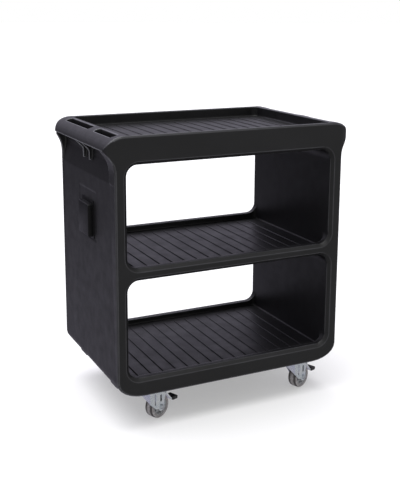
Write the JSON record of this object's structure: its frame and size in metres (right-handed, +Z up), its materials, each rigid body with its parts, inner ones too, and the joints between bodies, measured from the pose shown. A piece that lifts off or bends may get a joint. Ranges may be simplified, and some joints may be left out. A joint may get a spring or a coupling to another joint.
{
  "type": "food service trolley",
  "caption": "Moulded shelf trolley with a recessed tray, open bays running right through, a push handle at each end and swivel casters, the front ones braked.",
  "frame": {"origin": "on the floor under the middle of the body, at the middle of the bounding box's bottom face", "axes": "+Z up, +X along the trolley's length towards the right-hand handle, +Y from the front face towards the rear face"},
  "size_m": [0.816, 0.5, 0.89],
  "materials": {
    "polyethylene": "satin moulded texture",
    "block_plastic": "smooth satin",
    "zinc_plate": "bright zinc plated",
    "fastener_steel": "zinc plated",
    "wheel_plastic": "satin",
    "grey_rubber": "matte",
    "pedal_plastic": "matte"
  },
  "bodies": {
    "trolley": {"body_shell": "polyethylene", "hanger_block_left": "block_plastic", "hanger_block_right": "block_plastic", "front_left_mount_plate": "zinc_plate", "front_left_kingpin": "fastener_steel", "front_left_plate_bolt_1": "fastener_steel", "front_left_plate_bolt_2": "fastener_steel", "front_left_plate_bolt_3": "fastener_steel", "front_left_plate_bolt_4": "fastener_steel", "front_right_mount_plate": "zinc_plate", "front_right_kingpin": "fastener_steel", "front_right_plate_bolt_1": "fastener_steel", "front_right_plate_bolt_2": "fastener_steel", "front_right_plate_bolt_3": "fastener_steel", "front_right_plate_bolt_4": "fastener_steel", "rear_left_mount_plate": "zinc_plate", "rear_left_kingpin": "fastener_steel", "rear_left_plate_bolt_1": "fastener_steel", "rear_left_plate_bolt_2": "fastener_steel", "rear_left_plate_bolt_3": "fastener_steel", "rear_left_plate_bolt_4": "fastener_steel", "rear_right_mount_plate": "zinc_plate", "rear_right_kingpin": "fastener_steel", "rear_right_plate_bolt_1": "fastener_steel", "rear_right_plate_bolt_2": "fastener_steel", "rear_right_plate_bolt_3": "fastener_steel", "rear_right_plate_bolt_4": "fastener_steel"},
    "front_left_swivel": {"front_left_ball_race": "fastener_steel", "front_left_fork": "zinc_plate", "front_left_axle_bolt": "fastener_steel", "front_left_axle_nut": "fastener_steel", "front_left_brake_pin": "fastener_steel"},
    "front_left_wheel": {"front_left_wheel_core": "wheel_plastic", "front_left_tread": "grey_rubber"},
    "front_left_brake": {"front_left_brake_lever": "zinc_plate", "front_left_pedal_pad": "pedal_plastic"},
    "front_right_swivel": {"front_right_ball_race": "fastener_steel", "front_right_fork": "zinc_plate", "front_right_axle_bolt": "fastener_steel", "front_right_axle_nut": "fastener_steel", "front_right_brake_pin": "fastener_steel"},
    "front_right_wheel": {"front_right_wheel_core": "wheel_plastic", "front_right_tread": "grey_rubber"},
    "front_right_brake": {"front_right_brake_lever": "zinc_plate", "front_right_pedal_pad": "pedal_plastic"},
    "rear_left_swivel": {"rear_left_ball_race": "fastener_steel", "rear_left_fork": "zinc_plate", "rear_left_axle_bolt": "fastener_steel", "rear_left_axle_nut": "fastener_steel"},
    "rear_left_wheel": {"rear_left_wheel_core": "wheel_plastic", "rear_left_tread": "grey_rubber"},
    "rear_right_swivel": {"rear_right_ball_race": "fastener_steel", "rear_right_fork": "zinc_plate", "rear_right_axle_bolt": "fastener_steel", "rear_right_axle_nut": "fastener_steel"},
    "rear_right_wheel": {"rear_right_wheel_core": "wheel_plastic", "rear_right_tread": "grey_rubber"}
  },
  "joints": [
    {"name": "front_left_swivel_turn", "type": "hinge", "parent": "trolley", "child": "front_left_swivel", "pos_m": [-0.256, -0.192, 0.1], "axis": [0, 0, 1], "continuous": true},
    {"name": "front_left_wheel_spin", "type": "hinge", "parent": "front_left_swivel", "child": "front_left_wheel", "pos_m": [-0.22843, -0.18018, 0.038], "axis": [-0.3939, 0.9191, 0], "continuous": true},
    {"name": "front_left_brake_press", "type": "hinge", "parent": "front_left_swivel", "child": "front_left_brake", "pos_m": [-0.2128, -0.17349, 0.08], "axis": [-0.3939, 0.9191, 0], "range_deg": [0, 5]},
    {"name": "front_right_swivel_turn", "type": "hinge", "parent": "trolley", "child": "front_right_swivel", "pos_m": [0.256, -0.192, 0.1], "axis": [0, 0, 1], "continuous": true},
    {"name": "front_right_wheel_spin", "type": "hinge", "parent": "front_right_swivel", "child": "front_right_wheel", "pos_m": [0.28357, -0.18018, 0.038], "axis": [-0.3939, 0.9191, 0], "continuous": true},
    {"name": "front_right_brake_press", "type": "hinge", "parent": "front_right_swivel", "child": "front_right_brake", "pos_m": [0.2992, -0.17349, 0.08], "axis": [-0.3939, 0.9191, 0], "range_deg": [0, 5]},
    {"name": "rear_left_swivel_turn", "type": "hinge", "parent": "trolley", "child": "rear_left_swivel", "pos_m": [-0.256, 0.192, 0.1], "axis": [0, 0, 1], "continuous": true},
    {"name": "rear_left_wheel_spin", "type": "hinge", "parent": "rear_left_swivel", "child": "rear_left_wheel", "pos_m": [-0.22843, 0.20382, 0.038], "axis": [-0.3939, 0.9191, 0], "continuous": true},
    {"name": "rear_right_swivel_turn", "type": "hinge", "parent": "trolley", "child": "rear_right_swivel", "pos_m": [0.256, 0.192, 0.1], "axis": [0, 0, 1], "continuous": true},
    {"name": "rear_right_wheel_spin", "type": "hinge", "parent": "rear_right_swivel", "child": "rear_right_wheel", "pos_m": [0.28357, 0.20382, 0.038], "axis": [-0.3939, 0.9191, 0], "continuous": true}
  ]
}
